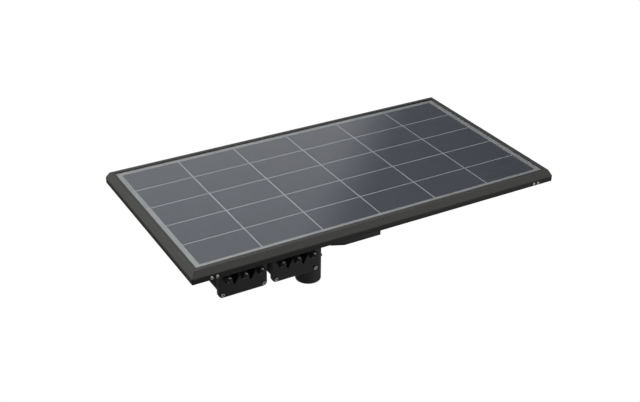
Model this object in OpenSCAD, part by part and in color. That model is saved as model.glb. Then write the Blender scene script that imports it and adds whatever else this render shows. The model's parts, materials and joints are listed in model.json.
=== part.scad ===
// Solar street lamp: a framed solar panel over two LED modules, a battery case and a tilting pole sleeve.
// Millimetres. The origin is the centre of the pole sleeve's open mouth, +Z up, X along the panel.

/* [Solar cells] */
// Number of cells along the panel
cell_cols = 6; // [4:1:8]
// Number of cells across the panel
cell_rows = 5; // [4:1:7]
// Length of one cell, along X
cell_x = 180; // [166:1:220]
// Depth of one cell, along Y
cell_y = 108; // [100:1:140]
// Gap between neighbouring cells
cell_gap = 4; // [2:0.5:6]
// Panel centre, measured along X from the pole axis
panel_shift = 74; // [50:1:90]

/* [Panel build-up] */
// Thickness of the front glass
glass_t = 3.2; // [2:0.1:4]
// Thickness of one cell
cell_t = 0.3; // [0.2:0.1:0.5]
// Thickness of the backsheet laminate
back_t = 1.2; // [0.8:0.1:2]
// Width of the pale border strip round the cells
border_w = 15; // [10:1:20]
// How far the border strip laps over the outer cells
border_lap = 4.5; // [3:0.5:6]

/* [Panel frame] */
// Height of the frame
frame_h = 35; // [34:1:50]
// From the edge of the cell field to the inner edge of the frame's lip
lip_in = 12; // [11.5:0.5:16]
// Width of the flat crest of the frame
crest_w = 12; // [11:1:16]
// How far the bevel leans outwards
bevel_out = 10; // [6:1:12]
// Height of the bevel
bevel_drop = 18.2; // [12:0.2:20]
// Wall thickness of the frame section
frame_wall = 2; // [1.5:0.1:2.5]
// Thickness of the frame's outer skin
frame_skin = 3; // [2.6:0.1:3.4]
// Thickness of the lip over the glass
lip_t = 1.2; // [1:0.1:1.8]
// Width of the bottom flange of the frame section
flange_w = 28; // [26:1:34]
// Radius of the frame's upright corners
corner_r = 3; // [2:1:12]

/* [Sub-frame] */
// Height of the cross bars
cross_h = 14; // [13:1:16]
// Width of the cross bars
cross_w = 36; // [30:1:44]
// Centre of a cross bar, from the panel's outer end
cross_inset = 62; // [58:1:80]
// Spacing of a pair of frame screws
pair_gap = 16; // [14:1:20]
// Height of the spine rails
spine_h = 25; // [20:1:30]
// Width of the spine rails
spine_w = 40; // [34:1:46]
// Wall thickness of the spine rails and cross bars
bar_wall = 2.5; // [2:0.1:3]
// Thickness of the carrier plate
carrier_t = 5; // [4:0.5:8]

/* [LED modules] */
// Width of a module across its end caps
cap_w = 150; // [140:1:160]
// Height of an end cap
cap_h = 69.5; // [66:0.5:76]
// Thickness of an end cap
cap_t = 14; // [10:1:18]
// Length of a module over both end caps
module_len = 320; // [300:1:360]
// Gap between the two modules
module_gap = 17; // [15:0.1:30]
// Gap between the second module and the pole sleeve
sleeve_gap = 15.3; // [12:0.1:30]
// Step from the outline of a cap in to the heat sink
sink_step = 4; // [3:0.5:6]
// Depth of the V-shaped valleys in the caps
valley_d = 36.5; // [30:0.5:40]
// Half the width of a valley at its top
valley_half = 19.5; // [14:0.5:20]
// Length of the screw tongues of a cap
tongue_len = 28; // [22:1:34]
// Height of a hanger, from the spine rail to the top of a cap
hanger_h = 87.5; // [84:0.5:110]
// Sheet thickness of the hangers
hanger_t = 3; // [2:0.5:4]

/* [Battery case] */
// Length of the case along X
case_x = 167; // [162:1:190]
// Width of the case along Y
case_y = 152; // [148:1:170]
// Wall thickness of the case
case_wall = 3; // [2.5:0.5:4]
// Thickness of the case's bottom cover
cover_t = 4; // [3.5:0.5:6]
// Length of the tapered nose of the case
nose_len = 39; // [30:1:45]
// How far each side of the nose tapers in
nose_in = 17.4; // [12:0.2:20]
// Gap between the pole sleeve and the case
case_gap = 5; // [4:0.5:12]
// How far the case hangs below the end caps
case_drop = 5; // [0:0.5:12]
// Diameter of one battery cell
battery_d = 32.2; // [26:0.1:33]
// Length of one battery cell
battery_len = 70.5; // [65:0.5:72]

/* [Pole sleeve] */
// Outer diameter of the pole sleeve
sleeve_d = 80; // [76:1:96]
// Bore of the pole sleeve
sleeve_bore = 66; // [60:1:68]
// Depth of the bore
bore_depth = 159; // [130:1:190]
// Thickness of the sleeve's closed top
sleeve_top_t = 8; // [6:1:12]
// Height of the clamp screws above the mouth
clamp_z = 67; // [40:1:90]
// Thread diameter of the clamp screws
clamp_d = 10; // [8:1:12]
// Length of the clamp screws
clamp_len = 15; // [14:1:20]

/* [Tilt joint] */
// From the sleeve's closed top up to the tilt axis
pivot_rise = 62; // [60:1:80]
// From the tilt axis up to the yoke's base plate
yoke_drop = 51; // [42:1:70]
// Thickness of the yoke's base plate
yoke_base = 8; // [6:1:12]
// Thickness of each ear of the yoke
ear_t = 10; // [6:1:12]
// Width of the sleeve's tongue between the ears
tongue_w = 40; // [34:1:44]
// Diameter of the pivot bolt
pivot_d = 16; // [12:1:18]
// Diameter of the lock bolt
lock_d = 10; // [8:1:12]
// Distance from the tilt axis down to the lock bolt
lock_r = 38; // [34:1:40]
// Greatest tilt to either side, in degrees
tilt_max = 15; // [5:1:18]

/* [Hidden] */
$fn = 48;
eps = 0.01;
fit = 0.05;       // radial clearance of a running fit
slip = 0.3;       // clearance of parts that only slip past each other
thirds = [-1, 0, 1];

// Fasteners: thread, width across flats, head and nut heights, clearance hole
m6 = 6;
m6_flats = 10;
m6_head = 4;
m6_nut = 5;
m6_hole = 6.6;
m8 = 8;
m8_flats = 13;
m8_head = 5;
m8_hole = 8.6;
lock_flats = 16;
lock_head = 5;
lock_nut_h = 8;
pivot_flats = 24;
pivot_head = 7;
pivot_nut_h = 11;
thread_out = 3;   // a tightened thread stands this far out of its nut

// Heights, from the sleeve's mouth upwards
sleeve_top = bore_depth + sleeve_top_t;
pivot_z = sleeve_top + pivot_rise;
yoke_top = pivot_z + yoke_drop + yoke_base;
spine_z = yoke_top + carrier_t;
cross_z = spine_z + spine_h;
frame_z = cross_z - frame_wall;
crest_z = frame_z + frame_h;
glass_z = crest_z - lip_t;
cell_z = glass_z - glass_t;
cap_top = spine_z - hanger_h;
cap_z = cap_top - cap_h;

// Panel sizes
pitch_x = cell_x + cell_gap;
pitch_y = cell_y + cell_gap;
field_x = cell_cols * pitch_x;
field_y = cell_rows * pitch_y;
rim = lip_in + crest_w + bevel_out;
panel_x = field_x + 2 * rim;
panel_y = field_y + 2 * rim;
border_out = border_w - border_lap;
strip_t = cell_t;
laminate_t = glass_t + strip_t + cell_t + back_t;
glass_rim = lip_in + crest_w - 5;   // from the cell field out to the edge of the glass
seal_gap = 0.1;
groove_t = laminate_t + seal_gap;
groove_rim = glass_rim + frame_wall;

// Sub-frame places
cross_x = panel_x / 2 - cross_inset;
cross_len = panel_y - 2 * (rim - lip_in - crest_w / 2) - slip;
port_r = 2.1;
spine_y = module_len / 2 - spine_w / 2;
spine_len = 2 * cross_x + cross_w;
port_rise = 5;   // from the underside of a cross bar up to its screw ports
port_z = cross_z + port_rise;

// Module places
cap_pitch = cap_w + module_gap;
module_x = [
    -(sleeve_d / 2 + sleeve_gap + cap_w / 2 + cap_pitch),
    -(sleeve_d / 2 + sleeve_gap + cap_w / 2)
];
third = cap_w / 3;
cap_corner = 12;
tie_in = 11;
tie_d = m6;
tie_nut_h = 6;
tongue_half = 9;
tongue_t = 5;
screw_out = 20;
tongue_head_d = 10;
tongue_head_h = 2.6;
sink_lift = 16;   // from the bottom of the caps up to the underside of the heat sink
sink_h = cap_h - sink_lift;
sink_z = cap_z + sink_lift;
pocket_w = 106;
pocket_d = 8;
lens_t = 4;
seal_t = 1.5;
board_t = 2;

// Battery case places
case_left = sleeve_d / 2 + case_gap;
case_right = case_left + case_x;
case_z = cap_z - case_drop;
roof_t = 4;
gland_z = yoke_top - 30;
gland_d = 12;
cell_step = battery_d + 0.8;
pack_x = case_right - case_wall - 17 - 2 * cell_step;
pack_z = case_z + cover_t + 16;
holder_t = 8;
button_x = case_right - 17;
button_d = 16;
button_travel = 2;

// ---------- helpers ----------

// 2D: rectangle with rounded corners made of true arcs
module round_rect(x, y, r) {
    square([x - 2 * r, y], center = true);
    square([x, y - 2 * r], center = true);
    for (sx = [-1, 1], sy = [-1, 1]) {
        translate([sx * (x / 2 - r), sy * (y / 2 - r)]) circle(r = r);
    }
}

// Flat ring between two rectangles
module rect_ring(x, y, w, t) {
    linear_extrude(t) difference() {
        square([x, y], center = true);
        square([x - 2 * w, y - 2 * w], center = true);
    }
}

// Hexagon-head bolt: the head's seat is at z = 0, the shank goes down
module hex_bolt(d, len, head_w, head_h) {
    cylinder(d = head_w / cos(30), h = head_h, $fn = 6);
    translate([0, 0, -len]) cylinder(d = d, h = len + eps);
    cylinder(d = head_w * 1.3, h = 1.2);
}

// Pan-head screw with a hexagon socket, seat at z = 0, shank down
module pan_screw(d, len, head_d, head_h) {
    difference() {
        union() {
            cylinder(d = head_d, h = head_h * 0.6);
            translate([0, 0, head_h * 0.6 - eps])
                cylinder(d1 = head_d, d2 = head_d * 0.8, h = head_h * 0.4);
        }
        translate([0, 0, head_h * 0.4]) cylinder(d = d * 0.6, h = head_h, $fn = 6);
    }
    translate([0, 0, -len]) cylinder(d = d, h = len + eps);
}

module at_panel(z) { translate([panel_shift, 0, z]) children(); }

// ---------- panel frame ----------

// Section of a frame rail: x outwards from the cell field, y up from the frame's bottom
module rail_section() {
    crest = lip_in + crest_w;
    top = frame_h;
    shelf = top - lip_t - groove_t;
    wall = frame_wall;
    side_top = top - bevel_drop;
    inner = crest - 3 * wall;
    difference() {
        polygon([
            [lip_in, top], [crest, top], [rim, side_top], [rim, 0], [rim - flange_w, 0],
            [rim - flange_w, wall], [inner, wall], [inner, shelf - wall], [lip_in, shelf - wall],
            [lip_in, shelf], [groove_rim, shelf], [groove_rim, top - lip_t], [lip_in, top - lip_t]
        ]);
        polygon([
            [crest - 2, top - 3], [rim - frame_skin, side_top - 1], [rim - frame_skin, wall],
            [inner + wall, wall], [inner + wall, shelf - wall], [crest - 2, shelf - wall]
        ]);
    }
}

// A rail along +X at the side y < 0 of a panel of the given outer size, mitred at both ends
module rail(len, across) {
    intersection() {
        translate([-len / 2, 0, 0]) rotate([90, 0, 90]) linear_extrude(len) mirror([1, 0])
            translate([across / 2 - rim, 0]) rail_section();
        linear_extrude(frame_h) polygon([
            [-len / 2, -across / 2], [len / 2, -across / 2],
            [len / 2 - rim - 20, -across / 2 + rim + 20], [-len / 2 + rim + 20, -across / 2 + rim + 20]
        ]);
    }
}

module corner_round() {
    linear_extrude(frame_h) round_rect(panel_x, panel_y, corner_r);
}

module long_rail(side) {
    color("#2b2b2b") at_panel(frame_z) difference() {
        intersection() {
            mirror([0, side > 0 ? 1 : 0, 0]) rail(panel_x, panel_y);
            corner_round();
        }
        for (sx = [-1, 1], px = [-1, 1]) {
            translate([sx * cross_x + px * pair_gap / 2, side * panel_y / 2, port_z - frame_z])
                rotate([90, 0, 0]) cylinder(r = port_r + 0.3, h = 80, center = true);
        }
    }
}

module short_rail(side) {
    color("#2b2b2b") at_panel(frame_z) intersection() {
        rotate([0, 0, side > 0 ? 90 : -90]) rail(panel_y, panel_x);
        corner_round();
    }
}

// L-shaped keys inside the hollow frame corners
module corner_keys() {
    wall = frame_wall;
    play = 0.5;
    chamber = bevel_out - frame_skin + 2 * wall;
    depth = chamber - 2 * play;
    reach = cross_inset - pair_gap / 2 - frame_skin - 6;
    key_h = frame_h - bevel_drop - wall - 3;
    color("silver") at_panel(frame_z + wall + play) for (sx = [-1, 1], sy = [-1, 1]) {
        translate([sx * (panel_x / 2 - frame_skin - play), sy * (panel_y / 2 - frame_skin - play), 0])
            mirror([sx > 0 ? 1 : 0, 0, 0]) mirror([0, sy > 0 ? 1 : 0, 0])
            linear_extrude(key_h) difference() {
                square([reach, reach]);
                translate([depth, depth]) square([reach, reach]);
                // the outer corner of the key follows the rounded frame corner
                polygon([[0, 0], [corner_r, 0], [0, corner_r]]);
            }
    }
}

// ---------- laminate ----------

module cover_glass() {
    color("#9fb0c0", 0.4) at_panel(cell_z) linear_extrude(glass_t)
        square([field_x + 2 * glass_rim, field_y + 2 * glass_rim], center = true);
}

module border_strip() {
    color("silver") at_panel(cell_z - strip_t)
        rect_ring(field_x + 2 * border_out, field_y + 2 * border_out, border_w, strip_t);
}

module solar_cells() {
    color("#1d2233") at_panel(cell_z - strip_t - cell_t) linear_extrude(cell_t)
        for (i = [0 : cell_cols - 1], j = [0 : cell_rows - 1]) {
            translate([(i - (cell_cols - 1) / 2) * pitch_x, (j - (cell_rows - 1) / 2) * pitch_y])
                square([cell_x, cell_y], center = true);
        }
}

module backsheet() {
    color("whitesmoke") at_panel(glass_z - laminate_t) linear_extrude(back_t)
        square([field_x + 2 * glass_rim, field_y + 2 * glass_rim], center = true);
}

module glass_seal() {
    color("#151515") at_panel(glass_z - laminate_t)
        rect_ring(field_x + 2 * (groove_rim - seal_gap), field_y + 2 * (groove_rim - seal_gap),
                  groove_rim - glass_rim - 2 * seal_gap, laminate_t - seal_gap);
}

module junction_box() {
    box_x = 112;
    box_y = 62;
    box_h = 22;
    color("#1a1a1a") translate([panel_shift, field_y / 2 - 60, glass_z - laminate_t - box_h]) {
        difference() {
            linear_extrude(box_h) round_rect(box_x, box_y, 6);
            translate([0, 0, 3]) linear_extrude(box_h - 6) round_rect(box_x - 6, box_y - 6, 3);
        }
        // raised lid with a rounded edge
        translate([0, 0, -2]) linear_extrude(2 + eps) round_rect(box_x - 10, box_y - 10, 5);
        for (sx = [-1, 1]) {
            translate([sx * 30, -box_y / 2 + eps, box_h / 2]) rotate([90, 0, 0]) cylinder(d = 14, h = 12);
        }
    }
}

// ---------- sub-frame ----------

// Flat hollow bar between the long rails, with a screw port under each frame screw
module cross_bar(side) {
    mid_z = cross_z + cross_h / 2;
    color("#3a3a3a") translate([panel_shift + side * cross_x, 0, mid_z]) difference() {
        rotate([90, 0, 0]) linear_extrude(cross_len, center = true) difference() {
            square([cross_w, cross_h], center = true);
            difference() {
                square([cross_w - 2 * bar_wall, cross_h - 2 * bar_wall], center = true);
                for (px = [-1, 1]) translate([px * pair_gap / 2, 0]) square([7, cross_h], center = true);
            }
            for (px = [-1, 1]) translate([px * pair_gap / 2, port_z - mid_z]) circle(r = port_r + fit);
        }
        for (sy = [-1, 1]) {
            translate([0, sy * spine_y, -cross_h / 2]) cylinder(d = m8_hole, h = 2 * bar_wall + 4, center = true);
        }
    }
}

module frame_screws() {
    color("silver") for (sx = [-1, 1], px = [-1, 1], sy = [-1, 1]) {
        translate([panel_shift + sx * cross_x + px * pair_gap / 2, sy * panel_y / 2, port_z])
            rotate([sy > 0 ? -90 : 90, 0, 0]) pan_screw(2 * port_r, 40, 9, 3);
    }
}

module spine_rail(side) {
    color("#3a3a3a") translate([panel_shift, side * spine_y, spine_z + spine_h / 2]) difference() {
        rotate([90, 0, 90]) linear_extrude(spine_len, center = true) difference() {
            square([spine_w, spine_h], center = true);
            square([spine_w - 2 * bar_wall, spine_h - 2 * bar_wall], center = true);
        }
        for (x = rail_bolt_xs) {
            translate([x - panel_shift, 0, -spine_h / 2]) cylinder(d = m8_hole, h = 20, center = true);
        }
        for (sx = [-1, 1]) translate([sx * cross_x, 0, 0]) cylinder(d = m8_hole, h = 2 * spine_h, center = true);
    }
}

hanger_bolt_off = cap_w / 2 - 20;
carrier_x0 = module_x[1] + cap_w / 2 + 5;
carrier_x1 = case_right + 10;
plate_bolt_xs = [carrier_x0 + 20, (carrier_x0 + carrier_x1) / 2, carrier_x1 - 20];
hanger_bolt_xs = [for (m = module_x, s = [-1, 1]) m + s * hanger_bolt_off];
rail_bolt_xs = concat(hanger_bolt_xs, plate_bolt_xs);

// M8 flange bolts: hangers, carrier plate and cross bars to the spine rails, and the yoke to the plate
module rail_bolts() {
    color("silver") {
        for (sy = [-1, 1], x = hanger_bolt_xs) {
            translate([x, sy * spine_y, spine_z - hanger_t]) mirror([0, 0, 1]) hex_bolt(m8, 16, m8_flats, m8_head);
        }
        for (sy = [-1, 1], x = plate_bolt_xs) {
            translate([x, sy * spine_y, spine_z - carrier_t]) mirror([0, 0, 1]) hex_bolt(m8, 18, m8_flats, m8_head);
        }
        for (sy = [-1, 1], sx = [-1, 1]) {
            translate([panel_shift + sx * cross_x, sy * spine_y, spine_z]) mirror([0, 0, 1])
                hex_bolt(m8, spine_h + bar_wall + thread_out, m8_flats, m8_head);
        }
        for (p = yoke_bolt_at) translate([p[0], p[1], spine_z]) hex_bolt(m8, carrier_t + yoke_base - 1, m8_flats, m8_head);
    }
}

module carrier_plate() {
    plate_y = 2 * (spine_y + spine_w / 2);
    mid_x = (carrier_x0 + carrier_x1) / 2;
    color("#333333") translate([0, 0, yoke_top]) difference() {
        translate([mid_x, 0, 0]) linear_extrude(carrier_t)
            round_rect(carrier_x1 - carrier_x0, plate_y, 10);
        for (sy = [-1, 1], x = plate_bolt_xs) translate([x, sy * spine_y, -1]) cylinder(d = m8_hole, h = carrier_t + 2);
        for (p = case_bolt_at) translate([p[0], p[1], -1]) cylinder(d = m6_hole, h = carrier_t + 2);
        for (p = yoke_bolt_at) translate([p[0], p[1], -1]) cylinder(d = m8_hole, h = carrier_t + 2);
    }
}

// ---------- LED modules ----------

// Valley tips sit at the thirds of the width; half is the valley's half width at height top
module valleys(top, depth, half) {
    slope = half / depth;
    for (s = [-1, 1]) translate([s * third / 2, 0])
        polygon([[0, top - depth], [half + slope, top + 1], [-half - slope, top + 1]]);
}

module cap_outline() {
    difference() {
        union() {
            translate([-cap_w / 2, cap_corner]) square([cap_w, cap_h - cap_corner]);
            translate([-cap_w / 2 + cap_corner, 0]) square([cap_w - 2 * cap_corner, cap_corner + eps]);
            for (s = [-1, 1]) translate([s * (cap_w / 2 - cap_corner), cap_corner]) circle(r = cap_corner);
        }
        valleys(cap_h, valley_d, valley_half);
    }
}

// A cap with its outer face at y = -module_len / 2; the rear cap is its mirror image
module end_cap(i) {
    color("#262626") translate([module_x[i], -module_len / 2, cap_z]) difference() {
        union() {
            rotate([90, 0, 0]) translate([0, 0, -cap_t]) linear_extrude(cap_t) cap_outline();
            for (k = thirds) translate([k * third, 0, cap_h - tongue_t]) linear_extrude(tongue_t) {
                translate([-tongue_half, -tongue_len + tongue_half])
                    square([2 * tongue_half, tongue_len - tongue_half + 6]);
                translate([0, -tongue_len + tongue_half]) circle(r = tongue_half);
            }
            // gusset under each tongue
            for (k = thirds) translate([k * third - 2, 0, cap_h - tongue_t]) rotate([90, 0, 90])
                linear_extrude(4) polygon([[1, 1], [6 - tongue_len, 1], [6 - tongue_len, 0], [0, -22], [1, -22]]);
        }
        for (k = thirds) translate([k * third, -screw_out, cap_h - 20]) cylinder(d = m6_hole, h = 30);
        for (s = [-1, 1]) translate([s * (cap_w / 2 - tie_in), 0, tie_in]) rotate([90, 0, 0])
            cylinder(d = tie_d + 0.6, h = 4 * cap_t, center = true);
    }
}

module rear_cap(i) { mirror([0, 1, 0]) end_cap(i); }

// Section of the heat sink: three hollow ridges over a pocket for the LED board
module sink_section() {
    w = cap_w - 2 * sink_step;
    vd = valley_d - 4;
    vh = valley_half - 2.5;
    wall = 5;
    floor_h = pocket_d + 4;
    chamber_h = sink_h - floor_h - 4;
    difference() {
        translate([-w / 2, 0]) square([w, sink_h]);
        valleys(sink_h, vd, vh);
        // lower corners stay inside the outline of the caps
        for (s = [-1, 1]) translate([s * w / 2, 0]) rotate(45) square(6, center = true);
        translate([-pocket_w / 2, -1]) square([pocket_w, pocket_d + 1]);
        // three hollow chambers that follow the ridges
        difference() {
            translate([-w / 2 + 4, floor_h]) square([w - 8, chamber_h]);
            valleys(sink_h, vd + wall + 2, vh + wall);
            for (s = [-1, 1]) translate([s * third / 2 - 2.5, 0]) square([5, sink_h]);
        }
    }
}

module heat_sink(i) {
    len = module_len - 2 * cap_t;
    color("#222222") translate([module_x[i], 0, sink_z]) rotate([90, 0, 0])
        linear_extrude(len, center = true) sink_section();
}

led_cols = 4;
led_rows = 10;
led_pitch_x = 24;
led_pitch_y = 26;

module led_grid() {
    for (a = [0 : led_cols - 1], b = [0 : led_rows - 1]) {
        translate([(a - (led_cols - 1) / 2) * led_pitch_x, (b - (led_rows - 1) / 2) * led_pitch_y]) children();
    }
}

// Circuit board against the roof of the pocket, with the LED packages under it
module led_board(i) {
    len = module_len - 2 * cap_t - 12;
    translate([module_x[i], 0, sink_z + pocket_d - board_t]) {
        color("white") linear_extrude(board_t) square([pocket_w - 8, len], center = true);
        color("gold") translate([0, 0, -1.2]) linear_extrude(1.2) led_grid() square(3.5, center = true);
    }
}

module lens_seal(i) {
    len = module_len - 2 * cap_t;
    color("#111111") translate([module_x[i], 0, sink_z - seal_t])
        rect_ring(pocket_w + 12, len, 9, seal_t);
}

// Clear plate that closes the pocket, with a shallow dome under each LED
module lens_plate(i) {
    len = module_len - 2 * cap_t;
    color("#dfe8ee", 0.6) translate([module_x[i], 0, sink_z - seal_t - lens_t]) {
        linear_extrude(lens_t) square([pocket_w + 12, len], center = true);
        led_grid() translate([0, 0, -3]) cylinder(d1 = 9, d2 = 17, h = 3 + eps);
    }
}

// Bent-sheet hanger: flange under the spine rail, web, and three feet on the cap's tongues
module hanger(i) {
    y0 = -module_len / 2;
    flange = spine_w - 4;
    color("#303030") translate([module_x[i], y0, cap_top]) difference() {
        union() {
            translate([-cap_w / 2, 0, 0]) cube([cap_w, hanger_t, hanger_h]);
            translate([-cap_w / 2, 0, hanger_h - hanger_t]) cube([cap_w, flange, hanger_t]);
            for (k = thirds) translate([k * third, 0, 0]) linear_extrude(hanger_t) {
                translate([-tongue_half, -tongue_len + tongue_half])
                    square([2 * tongue_half, tongue_len - tongue_half + eps]);
                translate([0, -tongue_len + tongue_half]) circle(r = tongue_half);
            }
        }
        for (k = thirds) translate([k * third, -screw_out, -1]) cylinder(d = m6_hole, h = 10);
        for (s = [-1, 1]) translate([s * hanger_bolt_off, spine_w / 2, hanger_h - 10]) cylinder(d = m8_hole, h = 20);
        // two windows lighten the web
        for (s = [-1, 1]) translate([s * cap_w / 4, 0, hanger_h / 2]) rotate([90, 0, 0])
            linear_extrude(20, center = true) round_rect(cap_w / 2 - 30, hanger_h - 44, 8);
    }
}

module hanger_rear(i) { mirror([0, 1, 0]) hanger(i); }

module tongue_screws() {
    color("silver") for (m = module_x, k = thirds, sy = [-1, 1]) {
        translate([m + k * third, sy * (module_len / 2 + screw_out), cap_top + hanger_t])
            pan_screw(m6, hanger_t + tongue_t + thread_out, tongue_head_d, tongue_head_h);
    }
}

// Long bolts that hold both caps against the heat sink
module tie_bolts() {
    color("silver") for (m = module_x, s = [-1, 1]) {
        translate([m + s * (cap_w / 2 - tie_in), -module_len / 2, cap_z + tie_in])
            rotate([90, 0, 0]) pan_screw(tie_d, module_len + tie_nut_h + thread_out, 13, 5);
    }
}

module tie_nuts() {
    color("silver") for (m = module_x, s = [-1, 1]) {
        translate([m + s * (cap_w / 2 - tie_in), module_len / 2, cap_z + tie_in]) rotate([-90, 0, 0])
            difference() {
                cylinder(d = m6_flats / cos(30), h = tie_nut_h, $fn = 6);
                translate([0, 0, -1]) cylinder(d = tie_d + 2 * fit, h = tie_nut_h + 2);
            }
    }
}

// ---------- battery case ----------

// Outline of the case, moved inwards by d: a rectangle whose two corners by the sleeve taper to a nose
module case_plan(d) {
    a = atan(nose_in / nose_len);
    y_side = case_y / 2 - d;
    y_nose = case_y / 2 - nose_in + d * tan(a) - d / cos(a);
    x_break = case_left + nose_len - d * (1 - 1 / cos(a)) / tan(a);
    polygon([
        [case_left + d, -y_nose], [x_break, -y_side], [case_right - d, -y_side],
        [case_right - d, y_side], [x_break, y_side], [case_left + d, y_nose]
    ]);
}

boss_h = 24;
boss_r = 4;
boss_in = 3.4;   // from the case's inner wall to the middle of a screw boss
cover_screw_at = [
    for (s = [-1, 1]) [case_right - case_wall - boss_in, s * (case_y / 2 - case_wall - boss_in)],
    for (s = [-1, 1]) [pack_x, s * (case_y / 2 - case_wall - boss_in)],
    for (s = [-1, 1]) [case_left + case_wall + boss_in, s * (case_y / 2 - nose_in - 14)]
];
case_bolt_at = [
    for (s = [-1, 1]) [case_right - 24, s * (case_y / 2 - 24)],
    for (s = [-1, 1]) [case_left + 26, s * (case_y / 2 - 42)]
];

module battery_case() {
    z0 = case_z + cover_t + seal_t;
    z1 = yoke_top;
    color("#242424") difference() {
        union() {
            difference() {
                translate([0, 0, z0]) linear_extrude(z1 - z0) case_plan(0);
                translate([0, 0, z0 - 1]) linear_extrude(z1 - z0 + 1 - roof_t) case_plan(case_wall);
            }
            for (p = cover_screw_at) intersection() {
                translate([p[0], p[1], z0]) cylinder(r = boss_r, h = boss_h);
                translate([0, 0, z0]) linear_extrude(boss_h) case_plan(case_wall / 2);
            }
        }
        for (p = cover_screw_at) translate([p[0], p[1], z0 - 1]) cylinder(r = 1.6, h = boss_h - 4);
        for (p = case_bolt_at) translate([p[0], p[1], z1 - 10]) cylinder(d = m6_hole, h = 20);
        for (x = gland_xs) translate([x, case_y / 2, gland_z]) rotate([90, 0, 0])
            cylinder(d = gland_d + 0.2, h = 4 * case_wall, center = true);
    }
}

gland_xs = [for (k = [0 : 2]) case_left + nose_len + 28 + 30 * k];

module cable_glands() {
    color("#1c1c1c") for (x = gland_xs) translate([x, case_y / 2, gland_z]) rotate([-90, 0, 0]) {
        translate([0, 0, -case_wall - 8]) cylinder(d = gland_d, h = case_wall + 8 + eps);
        cylinder(d = (gland_d + 6) / cos(30), h = 5, $fn = 6);
        translate([0, 0, 5 - eps]) cylinder(d = 16, h = 8);
        translate([0, 0, 13 - 2 * eps]) cylinder(d1 = 16, d2 = 10, h = 4);
        translate([0, 0, -case_wall - 5]) cylinder(d = (gland_d + 5) / cos(30), h = 5, $fn = 6);
    }
}

module cover_seal() {
    color("#101010") translate([0, 0, case_z + cover_t]) linear_extrude(seal_t) difference() {
        case_plan(0.5);
        case_plan(case_wall - 0.2);
    }
}

module case_cover() {
    color("#262626") translate([0, 0, case_z]) difference() {
        linear_extrude(cover_t) case_plan(0);
        for (p = cover_screw_at) translate([p[0], p[1], -1]) {
            cylinder(r = 2.2, h = cover_t + 2);
            cylinder(r = 4.2, h = 1 + cover_t / 2);
        }
        translate([button_x, 0, -1]) cylinder(d = button_d + 0.2, h = cover_t + 2);
        // three shallow grooves across the cover
        for (k = thirds) translate([(case_left + nose_len + case_right) / 2 + k * 30, 0, -1])
            linear_extrude(2) round_rect(8, case_y - 50, 3.5);
    }
}

module cover_screws() {
    color("silver") for (p = cover_screw_at) translate([p[0], p[1], case_z + cover_t / 2]) mirror([0, 0, 1]) {
        difference() {
            cylinder(r = 3.8, h = cover_t / 2 - 0.2);
            translate([0, 0, 0.6]) cylinder(d = 4, h = 4, $fn = 6);
        }
        translate([0, 0, -18]) cylinder(r = 1.55, h = 18 + eps);
    }
}

module case_bolts() {
    color("silver") for (p = case_bolt_at) {
        translate([p[0], p[1], spine_z]) hex_bolt(m6, 20, m6_flats, m6_head);
        translate([p[0], p[1], yoke_top - roof_t - m6_nut]) difference() {
            cylinder(d = m6_flats / cos(30), h = m6_nut, $fn = 6);
            translate([0, 0, -1]) cylinder(d = m6 + 2 * fit, h = m6_nut + 2);
        }
    }
}

module at_battery_cells(z) {
    for (a = [-1.5, -0.5, 0.5, 1.5], b = [-1.5, -0.5, 0.5, 1.5]) {
        translate([pack_x + a * cell_step, b * cell_step, z]) children();
    }
}

module battery_cells() {
    color("#2f6fa8") at_battery_cells(pack_z) cylinder(d = battery_d, h = battery_len);
}

// Upper and lower trays that hold the cells by their ends
module cell_holders() {
    side = 4 * cell_step;
    color("#202020") for (z = [pack_z - 2, pack_z + battery_len + 2 - holder_t]) difference() {
        translate([0, 0, z]) linear_extrude(holder_t) intersection() {
            translate([pack_x, 0]) square([side, side - 2], center = true);
            case_plan(case_wall + 1);
        }
        at_battery_cells(pack_z) cylinder(d = battery_d + 0.2, h = battery_len);
        for (s = [-1, 1]) translate([pack_x, s * side / 2, z - 1]) cylinder(r = boss_r + 1.5, h = holder_t + 2);
    }
}

module battery_board() {
    z = pack_z + battery_len + 4;
    translate([pack_x, 0, z]) {
        color("darkgreen") linear_extrude(1.6) square([90, 50], center = true);
        color("#222222") for (k = thirds) translate([k * 24, 0, 1.6 - eps]) linear_extrude(3) square([14, 20], center = true);
    }
}

// Potted charge controller and LED driver on the roof of the case
module charge_controller() {
    body_h = 26;
    color("#707478") translate([pack_x + 4, 0, yoke_top - roof_t - body_h - 6]) {
        linear_extrude(body_h) round_rect(96, 74, 4);
        for (k = [-2 : 2]) translate([k * 18, 0, body_h - eps]) linear_extrude(6) square([4, 70], center = true);
    }
}

// ---------- power button ----------

// The button looks down: local +Z is the outside
module at_button() { translate([button_x, 0, case_z]) mirror([0, 0, 1]) children(); }

button_cap_d = 11;
bezel_t = 3;
barrel_h = 14;

module button_bezel() {
    color("silver") at_button() difference() {
        union() {
            cylinder(d = button_d + 8, h = bezel_t);
            translate([0, 0, -barrel_h]) cylinder(d = button_d, h = barrel_h + eps);
            translate([0, 0, -cover_t - 4]) cylinder(d = (button_d + 5) / cos(30), h = 4, $fn = 6);
        }
        translate([0, 0, 2 - barrel_h]) cylinder(d = button_cap_d + 2 * fit, h = barrel_h + bezel_t);
    }
}

module power_button() {
    sunk = 4;   // how deep the cap sits in the barrel
    color("#a03028") at_button() translate([0, 0, -sunk])
        cylinder(d = button_cap_d, h = sunk + bezel_t + button_travel);
}

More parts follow.
